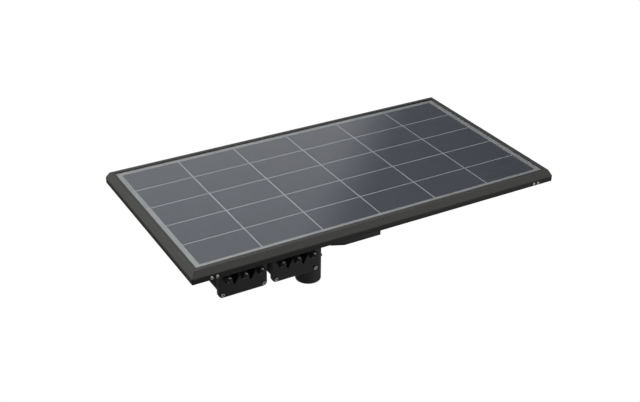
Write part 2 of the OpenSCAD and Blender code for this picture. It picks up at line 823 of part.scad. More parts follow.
// Closed coil, drawn as stacked rings joined by a strip
module button_spring() {
    wire = 1;
    turns = 5;
    low = 2 - barrel_h + wire / 2;
    step = (barrel_h - 6 - wire) / (turns - 1);
    ring = button_cap_d / 2 - 1.9;
    color("silver") at_button() {
        for (k = [0 : turns - 1]) translate([0, 0, low + k * step]) rotate_extrude()
            translate([ring, 0]) circle(d = wire, $fn = 16);
        translate([ring, 0, low]) cylinder(d = wire * 0.8, h = (turns - 1) * step, $fn = 16);
    }
}

// ---------- tilt joint and pole sleeve ----------

yoke_bolt_at = [for (sx = [-1, 1], sy = [-1, 1]) [sx * 10, sy * 44]];
ear_low = lock_r + lock_d / 2 + 9;

module ear_plan() {
    circle(r = ear_low);
    translate([-ear_low, 0]) square([2 * ear_low, yoke_drop + eps]);
}

// Point at an angle from straight down, and the points of an arc about c
function on_circle(a) = [sin(a), -cos(a)];
function arc(c, r, a0, a1, n = 12) = [for (k = [0 : n]) c + r * on_circle(a0 + (a1 - a0) * k / n)];

// Arc slot round the tilt axis; the lock bolt travels along it
module arc_slot() {
    r = lock_d / 2 + slip;
    a = tilt_max;
    end = lock_r * on_circle(a);
    polygon(concat(
        arc([0, 0], lock_r + r, 1 - a, a - 1),
        arc(end, r, a, a + 180),
        arc([0, 0], lock_r - r, a - 1, 1 - a),
        arc([-end[0], end[1]], r, 180 - a, 360 - a)
    ));
}

module tilt_yoke() {
    base_y = 120;
    inner = tongue_w / 2 + slip;
    color("#2a2a2a") difference() {
        union() {
            translate([0, 0, pivot_z + yoke_drop]) linear_extrude(yoke_base)
                round_rect(2 * (inner + ear_t) + 8, base_y, 8);
            for (s = [0, 1]) mirror([s, 0, 0]) translate([inner, 0, pivot_z]) rotate([90, 0, 90])
                linear_extrude(ear_t) ear_plan();
        }
        translate([0, 0, pivot_z]) rotate([0, 90, 0])
            cylinder(d = pivot_d + 2 * fit, h = 4 * tongue_w, center = true);
        translate([-2 * tongue_w, 0, pivot_z]) rotate([90, 0, 90]) linear_extrude(4 * tongue_w) arc_slot();
        for (p = yoke_bolt_at) translate([p[0], p[1], pivot_z]) cylinder(d = m8 + 2 * fit, h = 200);
    }
}

module pole_sleeve() {
    tongue_r = 30;
    color("#262626") difference() {
        union() {
            cylinder(d = sleeve_d, h = sleeve_top, $fn = 96);
            translate([-tongue_w / 2, 0, pivot_z]) rotate([90, 0, 90]) linear_extrude(tongue_w) {
                circle(r = tongue_r);
                translate([-tongue_r, -pivot_rise - eps]) square([2 * tongue_r, pivot_rise + eps]);
            }
        }
        translate([0, 0, -1]) cylinder(d = sleeve_bore, h = bore_depth + 1, $fn = 96);
        for (a = clamp_angles) rotate(a) translate([0, 0, clamp_z]) rotate([0, 90, 0])
            cylinder(d = clamp_d + 2 * fit, h = sleeve_d);
        for (z = [pivot_z, pivot_z - lock_r]) translate([0, 0, z]) rotate([0, 90, 0])
            cylinder(d = (z == pivot_z ? pivot_d : lock_d) + 2 * fit, h = 4 * tongue_w, center = true);
    }
}

clamp_angles = [0, 120, 240];

module clamp_screw(k) {
    color("silver") rotate(clamp_angles[k]) translate([sleeve_bore / 2, 0, clamp_z]) rotate([0, 90, 0])
        difference() {
            cylinder(d = clamp_d, h = clamp_len);
            translate([0, 0, clamp_len - 5]) cylinder(d = 6, h = 6, $fn = 6);
        }
}

ear_out = tongue_w / 2 + slip + ear_t;

module pivot_bolt() {
    color("silver") translate([ear_out, 0, pivot_z]) rotate([0, 90, 0]) {
        cylinder(d = pivot_flats / cos(30), h = pivot_head, $fn = 6);
        translate([0, 0, -2 * ear_out - pivot_nut_h - thread_out])
            cylinder(d = pivot_d, h = 2 * ear_out + pivot_nut_h + thread_out + eps);
    }
}

module pivot_nut() {
    color("silver") translate([-ear_out, 0, pivot_z]) rotate([0, -90, 0]) difference() {
        cylinder(d = pivot_flats / cos(30), h = pivot_nut_h, $fn = 6);
        translate([0, 0, -1]) cylinder(d = pivot_d + 2 * fit, h = pivot_nut_h + 2);
    }
}

// The lock bolt's head and nut stand just off the ears, so that they slide along the slots
module lock_bolt() {
    color("silver") translate([ear_out + 0.1, 0, pivot_z - lock_r]) rotate([0, 90, 0]) {
        cylinder(d = lock_flats / cos(30), h = lock_head, $fn = 6);
        translate([0, 0, -2 * ear_out - lock_nut_h - 1])
            cylinder(d = lock_d, h = 2 * ear_out + lock_nut_h + 1 + eps);
    }
}

module lock_nut() {
    color("silver") translate([-ear_out - 0.1, 0, pivot_z - lock_r]) rotate([0, -90, 0]) difference() {
        cylinder(d = lock_flats / cos(30), h = lock_nut_h, $fn = 6);
        translate([0, 0, -1]) cylinder(d = lock_d + 2 * fit, h = lock_nut_h + 2);
    }
}

long_rail(-1);  // frame_front
long_rail(1);  // frame_back
short_rail(-1);  // frame_left
short_rail(1);  // frame_right
corner_keys();
cover_glass();
border_strip();
solar_cells();
backsheet();
glass_seal();
junction_box();
cross_bar(-1);  // cross_bar_left
cross_bar(1);  // cross_bar_right
frame_screws();
spine_rail(-1);  // spine_rail_front
spine_rail(1);  // spine_rail_back
rail_bolts();
carrier_plate();
heat_sink(0);  // heat_sink_1
heat_sink(1);  // heat_sink_2
end_cap(0);  // front_cap_1
end_cap(1);  // front_cap_2
rear_cap(0);  // rear_cap_1
rear_cap(1);  // rear_cap_2
led_board(0);  // led_board_1
led_board(1);  // led_board_2
lens_plate(0);  // lens_plate_1
lens_plate(1);  // lens_plate_2
lens_seal(0);  // lens_seal_1
lens_seal(1);  // lens_seal_2
hanger(0);  // hanger_front_1
hanger(1);  // hanger_front_2
hanger_rear(0);  // hanger_rear_1
hanger_rear(1);  // hanger_rear_2
tie_bolts();
tie_nuts();
tongue_screws();
battery_case();
case_cover();
cover_seal();
cover_screws();
case_bolts();
battery_cells();
cell_holders();
battery_board();
charge_controller();
cable_glands();
button_bezel();
power_button();
button_spring();
tilt_yoke();
pole_sleeve();
pivot_bolt();
pivot_nut();
lock_bolt();
lock_nut();
clamp_screw(0);  // clamp_screw_1
clamp_screw(1);  // clamp_screw_2
clamp_screw(2);  // clamp_screw_3
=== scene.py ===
import bpy
import bmesh
import json
import math
from mathutils import Matrix, Vector

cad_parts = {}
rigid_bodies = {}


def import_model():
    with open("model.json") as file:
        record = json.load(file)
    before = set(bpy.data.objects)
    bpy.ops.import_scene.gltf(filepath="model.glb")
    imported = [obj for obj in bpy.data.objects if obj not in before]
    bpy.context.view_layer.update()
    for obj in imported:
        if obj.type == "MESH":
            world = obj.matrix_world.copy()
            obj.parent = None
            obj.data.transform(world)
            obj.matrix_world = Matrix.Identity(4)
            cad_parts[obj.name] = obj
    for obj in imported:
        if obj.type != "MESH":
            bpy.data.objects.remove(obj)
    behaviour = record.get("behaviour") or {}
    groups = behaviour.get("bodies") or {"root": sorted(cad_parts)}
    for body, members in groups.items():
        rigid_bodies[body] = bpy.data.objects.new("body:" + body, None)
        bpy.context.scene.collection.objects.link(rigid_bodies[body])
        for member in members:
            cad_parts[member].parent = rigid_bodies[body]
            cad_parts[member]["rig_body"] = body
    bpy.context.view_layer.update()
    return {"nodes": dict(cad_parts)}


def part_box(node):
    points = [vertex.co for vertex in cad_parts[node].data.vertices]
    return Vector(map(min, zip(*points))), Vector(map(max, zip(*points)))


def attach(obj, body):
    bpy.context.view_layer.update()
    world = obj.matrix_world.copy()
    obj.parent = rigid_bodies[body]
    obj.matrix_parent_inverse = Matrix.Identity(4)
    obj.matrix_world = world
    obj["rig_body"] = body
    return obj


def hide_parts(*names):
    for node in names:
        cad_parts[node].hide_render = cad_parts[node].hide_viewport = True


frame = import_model()
nodes = frame["nodes"]
print("frame loaded:", len(nodes), "CAD nodes")


# shader helpers: a short way to write node trees

class Wire:
    # one output socket; an expression on it adds Math nodes
    def __init__(self, finish, socket):
        self.finish = finish
        self.socket = socket

    def join(self, operation, first, second):
        return self.finish.node("ShaderNodeMath", {"operation": operation}, {0: first, 1: second})

    def __add__(self, other):
        return self.join("ADD", self, other)

    def __radd__(self, other):
        return self.join("ADD", other, self)

    def __sub__(self, other):
        return self.join("SUBTRACT", self, other)

    def __rsub__(self, other):
        return self.join("SUBTRACT", other, self)

    def __mul__(self, other):
        return self.join("MULTIPLY", self, other)

    def __pow__(self, other):
        return self.join("POWER", self, other)


class Finish:
    # a material, or the world given to it, and the short calls that build its nodes
    def __init__(self, name, world=None):
        self.material = world or bpy.data.materials.new(name)
        self.material.use_nodes = True
        self.tree = self.material.node_tree
        self.tree.nodes.clear()
        self.spot = self.node("ShaderNodeTexCoord", out="Object")

    def node(self, kind, settings=None, sockets=None, out=0):
        made = self.tree.nodes.new(kind)
        for key, value in (settings or {}).items():
            setattr(made, key, value)
        for key, value in (sockets or {}).items():
            if isinstance(value, Wire):
                self.tree.links.new(value.socket, made.inputs[key])
            else:
                made.inputs[key].default_value = value
        return Wire(self, made.outputs[out])

    def noise(self, scale, detail=3, rough=0.55, stretch=None):
        place = self.spot
        if stretch:
            place = self.node("ShaderNodeMapping", None, {"Vector": self.spot, "Scale": stretch})
        sockets = {"Vector": place, "Scale": scale, "Detail": detail, "Roughness": rough}
        return self.node("ShaderNodeTexNoise", None, sockets)

    def specks(self, scale, out="Distance"):
        return self.node("ShaderNodeTexVoronoi", None, {"Vector": self.spot, "Scale": scale}, out)

    def ease(self, value, low, high, atLow=0.0, atHigh=1.0):
        sockets = {"Value": value, "From Min": low, "From Max": high, "To Min": atLow, "To Max": atHigh}
        return self.node("ShaderNodeMapRange", {"interpolation_type": "SMOOTHSTEP"}, sockets)

    def blend(self, mask, first, second):
        first = first if isinstance(first, Wire) else (*first, 1)
        second = second if isinstance(second, Wire) else (*second, 1)
        return self.node("ShaderNodeMix", {"data_type": "RGBA"}, {0: mask, 6: first, 7: second}, 2)

    def along(self, axis):
        return self.node("ShaderNodeSeparateXYZ", None, {0: self.spot}, axis)

    def facing(self, axis):
        # how far the surface itself faces +axis, whatever looks at it
        normal = self.node("ShaderNodeNewGeometry", out="Normal")
        return self.node("ShaderNodeSeparateXYZ", None, {0: normal}, axis)

    def stripes(self, axis, pitch, width, start=0.0):
        # 1 on a line of that width at every pitch, 0 between
        fromStart = self.along(axis) - start
        step = self.node("ShaderNodeMath", {"operation": "PINGPONG"}, {0: fromStart, 1: pitch / 2})
        return 1 - self.ease(step, width * 0.35, width * 0.65)

    def bump(self, height, distance, strength=1.0, under=None):
        sockets = {"Height": height, "Distance": distance, "Strength": strength}
        if under is not None:
            sockets["Normal"] = under
        return self.node("ShaderNodeBump", None, sockets)

    def close(self, **sockets):
        named = {key.replace("_", " "): value for key, value in sockets.items()}
        shader = self.node("ShaderNodeBsdfPrincipled", None, named)
        self.output(shader)
        return self.material

    def output(self, shader):
        end = self.tree.nodes.new("ShaderNodeOutputMaterial")
        self.tree.links.new(shader.socket, end.inputs["Surface"])


def coated(name, look):
    # powder coat or paint on metal: orange peel, cloudy gloss, a little dust on what faces up,
    # and a lighter rubbed tone where wear asks for it
    made = Finish(name)
    peel = made.noise(look["peelScale"], 2, 0.5)
    fine = made.noise(look["peelScale"] * 4, 2, 0.6)
    cloud = made.noise(7, 4, 0.6)
    dust = made.ease(made.facing(2), 0.55, 0.98) * made.ease(made.noise(38, 4, 0.65), 0.42, 0.72)
    dust = dust * look["dust"]
    rubbed = made.ease(made.noise(120, 3, 0.6), 0.40, 0.62) * look["wear"]
    colour = made.blend(made.ease(cloud, 0.35, 0.68), look["colour"], look["shade"])
    colour = made.blend(rubbed, colour, look["worn"])
    colour = made.blend(dust, colour, look["dustColour"])
    height = peel + fine * 0.35
    return made.close(
        Base_Color=colour,
        Roughness=look["rough"] + (cloud - 0.5) * 0.16 + dust * 0.5 - rubbed * 0.12,
        Metallic=look["metal"],
        Specular_IOR_Level=look["gloss"],
        Normal=made.bump(height, look["peelDepth"], 0.6),
    )


def coat(name, **changes):
    look = {
        "colour": (0.030, 0.030, 0.031),
        "shade": (0.038, 0.038, 0.038),
        "worn": (0.085, 0.083, 0.080),
        "dustColour": (0.17, 0.16, 0.145),
        "dust": 0.10,
        "wear": 0.0,
        "rough": 0.46,
        "gloss": 0.42,
        "metal": 0.0,
        "peelScale": 900,
        "peelDepth": 0.00008,
    }
    look.update(changes)
    edge = dict(look)
    edge["wear"] = 0.55
    return [coated(name, look), coated(name + "Edge", edge)]


def drawn(name, look):
    # anodised extrusion: fine die lines that run along one axis, and a soft metallic gloss
    made = Finish(name)
    stretch = [1.0, 1.0, 1.0]
    stretch[look["run"]] = 0.012
    lines = made.noise(look["lineScale"], 3, 0.7, tuple(stretch))
    cloud = made.noise(5, 4, 0.6)
    scuff = made.ease(made.noise(60, 4, 0.7), 0.60, 0.78) * look["scuff"]
    rubbed = made.ease(made.noise(140, 3, 0.6), 0.40, 0.62) * look["wear"]
    colour = made.blend(made.ease(lines, 0.35, 0.65), look["colour"], look["shade"])
    if "crest" in look:
        # painted shade: the flat crest and the upright walls get darker colours than the bevel by which
        # way they face, in place of the light they would miss
        colour = made.blend(made.ease(made.facing(2), 0.60, 0.92), colour, look["crest"])
        colour = made.blend(made.ease(made.facing(2), 0.10, 0.34), look["wall"], colour)
    colour = made.blend(rubbed, colour, look["worn"])
    colour = made.blend(scuff, colour, look["worn"])
    return made.close(
        Base_Color=colour,
        Roughness=look["rough"] + (lines - 0.5) * 0.18 + (cloud - 0.5) * 0.10,
        Metallic=look["metal"],
        Specular_IOR_Level=look["gloss"],
        Normal=made.bump(lines, look["lineDepth"], 0.5),
    )


def extrusion(name, **changes):
    look = {
        "run": 0,
        "colour": (0.052, 0.051, 0.050),
        "shade": (0.064, 0.063, 0.061),
        "worn": (0.17, 0.165, 0.16),
        "scuff": 0.05,
        "wear": 0.0,
        "rough": 0.44,
        "gloss": 0.5,
        "metal": 0.15,
        "lineScale": 1400,
        "lineDepth": 0.00004,
    }
    look.update(changes)
    edge = dict(look)
    edge["wear"] = 0.5
    return [drawn(name, look), drawn(name + "Edge", edge)]


# finishes; most come in pairs, the plain one and the one for rubbed edges

frameLook = {
    "colour": (0.097, 0.096, 0.093),
    "shade": (0.110, 0.109, 0.106),
    # the crest and wall colours are painted shade: darker tones for the frame's flat top and upright
    # sides
    "crest": (0.038, 0.038, 0.037),
    "wall": (0.034, 0.034, 0.033),
    "rough": 0.55,
    "gloss": 0.22,
    "metal": 0.0,
    "scuff": 0.02,
}
frameAlongX = extrusion("frameAlongX", run=0, **frameLook)
frameAlongY = extrusion("frameAlongY", run=1, **frameLook)
railLook = {"colour": (0.060, 0.060, 0.061), "shade": (0.075, 0.075, 0.076), "metal": 0.35}
railAlongX = extrusion("railAlongX", run=0, **railLook)
railAlongY = extrusion("railAlongY", run=1, **railLook)
sinkBlack = extrusion("sinkBlack", run=1, colour=(0.014, 0.014, 0.015), shade=(0.020, 0.020, 0.021),
                      rough=0.6, gloss=0.15, metal=0.0)
sheetCoat = coat("sheetCoat", rough=0.5)
castCoat = coat("castCoat", peelScale=620, peelDepth=0.00012, gloss=0.30)
sleeveCoat = coat("sleeveCoat", colour=(0.048, 0.048, 0.048), shade=(0.056, 0.056, 0.055), rough=0.46,
                  peelScale=700, gloss=0.25)
casePaint = coat("casePaint", rough=0.42, peelScale=1100, peelDepth=0.00006)


def makeZinc(name, tint=(0.74, 0.74, 0.75), rough=0.30):
    # plated steel: turning marks, a faint yellow bloom and darker pits
    made = Finish(name)
    turned = made.noise(2600, 2, 0.6, (1, 1, 0.2))
    bloom = made.ease(made.noise(90, 4, 0.6), 0.38, 0.70)
    pits = made.ease(made.specks(700), 0.0, 0.16)
    colour = made.blend(bloom, tint, (tint[0] * 0.82, tint[1] * 0.78, tint[2] * 0.66))
    colour = made.blend(pits, (0.16, 0.15, 0.13), colour)
    return made.close(
        Base_Color=colour,
        Roughness=rough + bloom * 0.16 + (turned - 0.5) * 0.12,
        Metallic=1.0,
        Normal=made.bump(turned, 0.00003, 0.5),
    )


zinc = makeZinc("zinc")
stainless = makeZinc("stainless", (0.54, 0.535, 0.53), 0.40)


def makeRubber():
    made = Finish("rubber")
    grain = made.noise(1500, 3, 0.6)
    bloom = made.ease(made.noise(40, 4, 0.6), 0.5, 0.75)
    return made.close(
        Base_Color=made.blend(bloom * 0.5, (0.014, 0.014, 0.014), (0.032, 0.032, 0.031)),
        Roughness=0.72 + (grain - 0.5) * 0.2,
        Specular_IOR_Level=0.3,
        Normal=made.bump(grain, 0.00008, 0.5),
    )


def makePlastic(name, colour, shade, rough=0.45, grainScale=1300):
    # spark-eroded mould texture
    made = Finish(name)
    grain = made.specks(grainScale)
    cloud = made.noise(20, 3, 0.6)
    return made.close(
        Base_Color=made.blend(made.ease(cloud, 0.35, 0.7), colour, shade),
        Roughness=rough + (cloud - 0.5) * 0.14 + (grain - 0.3) * 0.08,
        Specular_IOR_Level=0.45,
        Normal=made.bump(grain, 0.00006, 0.5),
    )


rubber = makeRubber()
boxPlastic = makePlastic("boxPlastic", (0.020, 0.020, 0.021), (0.028, 0.028, 0.029))
glandPlastic = makePlastic("glandPlastic", (0.018, 0.018, 0.019), (0.026, 0.026, 0.027), 0.5)
holderPlastic = makePlastic("holderPlastic", (0.035, 0.036, 0.038), (0.045, 0.046, 0.048), 0.5, 900)
buttonPlastic = makePlastic("buttonPlastic", (0.34, 0.030, 0.022), (0.28, 0.024, 0.018), 0.34, 1600)

cellLook = {
    "colour": (0.051, 0.052, 0.070),
    "shade": (0.055, 0.056, 0.074),
    "fingerPitch": 0.0018,
    "fingerWidth": 0.00016,
    "silver": (0.09, 0.09, 0.10),
    "shimmer": (0.05, 0.056, 0.09),
    "columns": 6,
    "rows": 5,
    "gap": 0.004,
    "seam": 0.010,         # width of the dip between two cells, seen from below
}


def makeSilicon(look):
    # textured cells: crystal clouds and hair-thin printed fingers across each cell
    made = Finish("silicon")
    low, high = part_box("solar_cells")
    crystals = made.specks(46, out="Color")
    shimmer = made.node("ShaderNodeSeparateColor", None, {0: crystals})
    cloud = made.noise(4, 3, 0.6)
    fingers = made.stripes(0, look["fingerPitch"], look["fingerWidth"], low.x)
    colour = made.blend(made.ease(cloud, 0.3, 0.7), look["colour"], look["shade"])
    colour = made.blend(shimmer * 0.10, colour, look["shimmer"])
    colour = made.blend(fingers * 0.30, colour, look["silver"])
    return made.close(
        Base_Color=colour,
        Roughness=0.38 + (shimmer - 0.5) * 0.06,
        Specular_IOR_Level=0.3,
        Normal=made.bump(made.noise(5200, 1, 0.5), 0.00001, 0.3),
    )


def makeStrip():
    # tinned ribbon: rolled surface with faint lengthwise marks
    made = Finish("silverStrip")
    marks = made.noise(420, 3, 0.6)
    dull = made.ease(made.noise(24, 4, 0.6), 0.35, 0.7)
    return made.close(
        Base_Color=made.blend(dull, (0.275, 0.275, 0.28), (0.24, 0.24, 0.25)),
        Roughness=0.5 + (marks - 0.5) * 0.2,
        Metallic=0.25,
        Normal=made.bump(marks, 0.00003, 0.4),
    )


def makeBacksheet(look):
    # laminated film: fine emboss, and the cells printed through as low pillows
    made = Finish("backsheet")
    low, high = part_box("solar_cells")
    emboss = made.noise(1100, 2, 0.5)
    gap = look["gap"]
    gapsX = made.stripes(0, (high.x - low.x + gap) / look["columns"], look["seam"], low.x - gap / 2)
    gapsY = made.stripes(1, (high.y - low.y + gap) / look["rows"], look["seam"], low.y - gap / 2)
    pillows = 1 - gapsX * 0.5 - gapsY * 0.5
    yellow = made.ease(made.noise(6, 4, 0.6), 0.4, 0.7)
    fromBelow = made.ease(made.facing(2), -0.4, 0.4, 1.0, 0.0)
    paper = made.blend(yellow, (0.66, 0.66, 0.645), (0.60, 0.60, 0.575))
    return made.close(
        Base_Color=made.blend(fromBelow, (0.29, 0.29, 0.30), paper),
        Roughness=0.55 + (emboss - 0.5) * 0.15,
        Specular_IOR_Level=0.4,
        Normal=made.bump(emboss, 0.00004, 0.5, made.bump(pillows, 0.0003, 0.5)),
    )


def makeGlass(name, tint, base, rim, rough):
    # clear sheet: what is under it shows through, and it mirrors more towards grazing
    made = Finish(name)
    edge = made.node("ShaderNodeLayerWeight", None, {"Blend": 0.5}, "Facing")
    smear = made.ease(made.noise(11, 5, 0.65), 0.35, 0.75)
    clear = made.node("ShaderNodeBsdfTransparent", None, {"Color": (*tint, 1)})
    mirror = made.node("ShaderNodeBsdfAnisotropic", None,
                       {"Color": (1, 1, 1, 1), "Roughness": rough + smear * 0.03})
    strength = base + edge ** 5 * rim
    made.output(made.node("ShaderNodeMixShader", None, {0: strength, 1: clear, 2: mirror}))
    return made.material


def makeWrap():
    # shrink sleeve over a cell: bare plated ends and soft lengthwise wrinkles
    made = Finish("cellWrap")
    low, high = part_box("battery_cells")
    height = made.along(2)
    aboveEnd = made.ease(height, low.z + 0.0006, low.z + 0.0012)
    middle = aboveEnd * (1 - made.ease(height, high.z - 0.0012, high.z - 0.0006))
    wrinkle = made.noise(160, 3, 0.6, (1, 1, 0.15))
    blue = made.blend(made.ease(wrinkle, 0.3, 0.7), (0.020, 0.085, 0.20), (0.026, 0.105, 0.24))
    return made.close(
        Base_Color=made.blend(middle, (0.55, 0.55, 0.54), blue),
        Roughness=0.26 + middle * 0.06 + (wrinkle - 0.5) * 0.08,
        Metallic=1 - middle,
        Normal=made.bump(wrinkle, 0.0002, 0.4),
    )


def makeCircuit(name, mask, trace):
    # lacquered board: traces and pads under the lacquer
    made = Finish(name)
    runsX = made.stripes(0, 0.0042, 0.0012)
    runsY = made.stripes(1, 0.0065, 0.0014)
    picked = made.ease(made.noise(55, 1, 0.3), 0.47, 0.50)
    runs = runsX * picked + runsY * (1 - picked)
    pads = 1 - made.ease(made.specks(120), 0.10, 0.12)
    fibre = made.noise(1800, 2, 0.5)
    colour = made.blend(runs * 0.7, mask, trace)
    return made.close(
        Base_Color=made.blend(pads * 0.8, colour, (0.55, 0.53, 0.48)),
        Roughness=0.34 + (fibre - 0.5) * 0.12,
        Normal=made.bump(runs, 0.00004, 0.6, made.bump(fibre, 0.00002, 0.3)),
    )


def makePotted():
    # cast aluminium box filled with compound
    made = Finish("castBox")
    grain = made.noise(700, 3, 0.6)
    cloud = made.ease(made.noise(30, 4, 0.6), 0.35, 0.7)
    return made.close(
        Base_Color=made.blend(cloud, (0.34, 0.345, 0.35), (0.27, 0.275, 0.28)),
        Roughness=0.42 + (grain - 0.5) * 0.2,
        Metallic=0.85,
        Normal=made.bump(grain, 0.00010, 0.5),
    )


def makePhosphor():
    # soft silicone over the emitter
    made = Finish("phosphor")
    grain = made.noise(2500, 2, 0.5)
    return made.close(
        Base_Color=made.blend(made.ease(grain, 0.3, 0.7), (0.80, 0.56, 0.08), (0.72, 0.49, 0.06)),
        Roughness=0.36 + (grain - 0.5) * 0.1,
        Coat_Weight=0.4,
        Normal=made.bump(grain, 0.00002, 0.3),
    )


cellWrap = makeWrap()
chargeBoard = makeCircuit("chargeBoard", (0.012, 0.10, 0.035), (0.020, 0.15, 0.055))
ledMask = makeCircuit("ledMask", (0.74, 0.74, 0.72), (0.66, 0.66, 0.64))
castBox = makePotted()
phosphor = makePhosphor()
ceramic = makePlastic("ceramic", (0.70, 0.69, 0.66), (0.64, 0.63, 0.60), 0.5, 2600)
silicon = makeSilicon(cellLook)
silverStrip = makeStrip()
backsheetFilm = makeBacksheet(cellLook)
frontGlass = makeGlass("frontGlass", (0.97, 0.985, 0.98), 0.020, 0.80, 0.03)
lensClear = makeGlass("lensClear", (0.86, 0.90, 0.92), 0.04, 0.90, 0.08)
print("finishes made")


# piece helpers

meshRules = {
    "weld": 3e-6,          # corners closer than this are one
    "flatWithin": 0.3,     # degrees; facets this close to flat are joined
    "roundAbove": 30,      # degrees; only sharper edges are rounded
}


def link(name, mesh):
    piece = bpy.data.objects.new(name, mesh)
    bpy.context.scene.collection.objects.link(piece)
    return piece


def bodyOf(node):
    return nodes[node]["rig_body"]


def place(piece, body, slot, standsFor=()):
    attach(piece, body)
    if standsFor:
        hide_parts(*standsFor)
    return piece


def dress(node, *materials):
    mesh = nodes[node].data
    mesh.materials.clear()
    for material in materials:
        mesh.materials.append(material)


def freshMesh(name, bm, materials):
    mesh = bpy.data.meshes.new(name)
    for face in bm.faces:
        face.smooth = True
    bm.to_mesh(mesh)
    bm.free()
    for material in materials:
        mesh.materials.append(material)
    return mesh


def welded(node):
    bm = bmesh.new()
    bm.from_mesh(nodes[node].data)
    for layer in list(bm.loops.layers.float_vector.values()):
        bm.loops.layers.float_vector.remove(layer)
    bmesh.ops.remove_doubles(bm, verts=bm.verts, dist=meshRules["weld"])
    return bm


def softened(node, name, materials, slot, width, segments=2):
    # the node's own shape with its edges rounded; the rounded edge takes the second, rubbed finish
    bm = welded(node)
    flat = math.radians(meshRules["flatWithin"])
    bmesh.ops.dissolve_limit(bm, angle_limit=flat, verts=bm.verts, edges=bm.edges)
    mesh = freshMesh(name, bm, materials)
    stale = [a for a in mesh.attributes if a.name == "custom_normal"]
    for attribute in stale:
        mesh.attributes.remove(attribute)
    for polygon in mesh.polygons:
        polygon.material_index = 0
    piece = link(name, mesh)
    edge = piece.modifiers.new("roundedEdge", "BEVEL")
    edge.width = width
    edge.segments = segments
    edge.limit_method = "ANGLE"
    edge.angle_limit = math.radians(meshRules["roundAbove"])
    edge.use_clamp_overlap = False
    edge.harden_normals = True
    edge.material = 1
    return place(piece, bodyOf(node), slot, [node])


def islands(node):
    # the box of each separate solid of a node
    bm = welded(node)
    found = []
    left = set(bm.verts)
    while left:
        front = [left.pop()]
        group = []
        while front:
            vert = front.pop()
            group.append(vert.co.copy())
            for edge in vert.link_edges:
                other = edge.other_vert(vert)
                if other in left:
                    left.remove(other)
                    front.append(other)
        low = Vector([min(p[k] for p in group) for k in range(3)])
        high = Vector([max(p[k] for p in group) for k in range(3)])
        found.append((low, high))
    bm.free()
    return sorted(found, key=lambda pair: tuple(round(v, 5) for v in pair[0]))


def aimed(point, outward, turn=0.0):
    # a matrix whose +Z is outward, at a point
    turned = Vector(outward).to_track_quat("Z", "Y").to_matrix().to_4x4()
    return Matrix.Translation(point) @ turned @ Matrix.Rotation(turn, 4, "Z")


def skin(bm, loops, material):
    # quads between the loops, and a face over each end
    count = len(loops[0])
    for lower, upper in zip(loops, loops[1:]):
        for k in range(count):
            after = (k + 1) % count
            face = bm.faces.new((lower[k], lower[after], upper[after], upper[k]))
            face.material_index = material
    bm.faces.new(reversed(loops[0])).material_index = material
    bm.faces.new(loops[-1]).material_index = material


def spin(bm, rings, at, steps=36, material=0):
    # rings of (radius, height); a third entry "hex" makes the radius half the width across flats,
    # "grip" cuts finger grooves, and a fourth drops the corners, as a chamfered head's do
    loops = []
    for ring in rings:
        loop = []
        for k in range(steps):
            turn = 2 * math.pi * k / steps
            radius = ring[0]
            height = ring[1]
            shape = ring[2] if len(ring) > 2 else "round"
            if shape == "hex":
                radius = ring[0] / math.cos((turn + math.pi / 6) % (math.pi / 3) - math.pi / 6)
            if shape == "grip":
                radius = ring[0] * (1 - 0.035 * (k % 3 == 0))
            if len(ring) > 3:
                height -= (radius - ring[0]) * ring[3]
            spot = Vector((radius * math.cos(turn), radius * math.sin(turn), height))
            loop.append(bm.verts.new(at @ spot))
        loops.append(loop)
    skin(bm, loops, material)


def thread(bm, radius, low, high, pitch, at, steps=24):
    # a real helical thread: rows a quarter of a pitch apart, the radius follows the helix
    rows = max(2, round((high - low) / (pitch / 4)))
    depth = pitch * 0.55
    loops = []
    for r in range(rows + 1):
        height = low + (high - low) * r / rows
        loop = []
        for k in range(steps):
            turn = 2 * math.pi * k / steps
            phase = (height / pitch - turn / (2 * math.pi)) % 1.0
            out = radius - depth * abs(phase * 2 - 1)
            if r in (0, rows):
                out = radius - depth
            spot = Vector((out * math.cos(turn), out * math.sin(turn), height))
            loop.append(bm.verts.new(at @ spot))
        loops.append(loop)
    skin(bm, loops, 0)


def finishPiece(name, bm, materials, body, slot, standsFor, sharp=38):
    bmesh.ops.recalc_face_normals(bm, faces=bm.faces)
    for edge in bm.edges:
        if len(edge.link_faces) == 2 and edge.calc_face_angle(0) > math.radians(sharp):
            edge.smooth = False
    piece = link(name, freshMesh(name, bm, materials))
    return place(piece, body, slot, standsFor)


def hexBolt(bm, head, outward, look):
    # head is the middle of the head's outer face; the shank runs back from it
    at = aimed(head, outward)
    flat = look["head"] / 2
    tall = look["tall"]
    spin(bm, [(flat, -tall, "hex"), (flat, -0.0004, "hex", 0.50), (flat * 0.94, 0), (flat * 0.90, 0)], at)
    if look.get("washer"):
        rim = look["washer"] / 2
        spin(bm, [(rim - 0.0002, -tall), (rim, -tall + 0.0003), (rim, -tall + 0.0008),
                  (rim - 0.0004, -tall + 0.0012), (flat * 0.8, -tall + 0.0013)], at)
    r = look["size"] / 2
    plain = look["length"] * look["plain"]
    spin(bm, [(r, -tall - plain), (r, -tall + 0.0002)], at, 24)
    thread(bm, r, -tall - look["length"], -tall - plain + 0.0001, look["pitch"], at)


def socketScrew(bm, head, outward, look):
    # pan head with a hexagon socket
    at = aimed(head, outward)
    wide = look["head"] / 2
    tall = look["tall"]
    key = look["key"] / 2
    spin(bm, [(wide * 0.96, -tall), (wide, -tall + 0.0002), (wide, -tall * 0.5),
              (wide * 0.96, -tall * 0.22), (wide * 0.84, -0.0002), (wide * 0.78, 0), (key * 1.22, 0),
              (key, -0.0003, "hex"), (key, -tall * 0.62, "hex"), (key * 0.3, -tall * 0.72)], at)
    r = look["size"] / 2
    plain = look["length"] * look["plain"]
    spin(bm, [(r, -tall - plain), (r, -tall + 0.0002)], at, 24)
    thread(bm, r, -tall - look["length"], -tall - plain + 0.0001, look["pitch"], at)


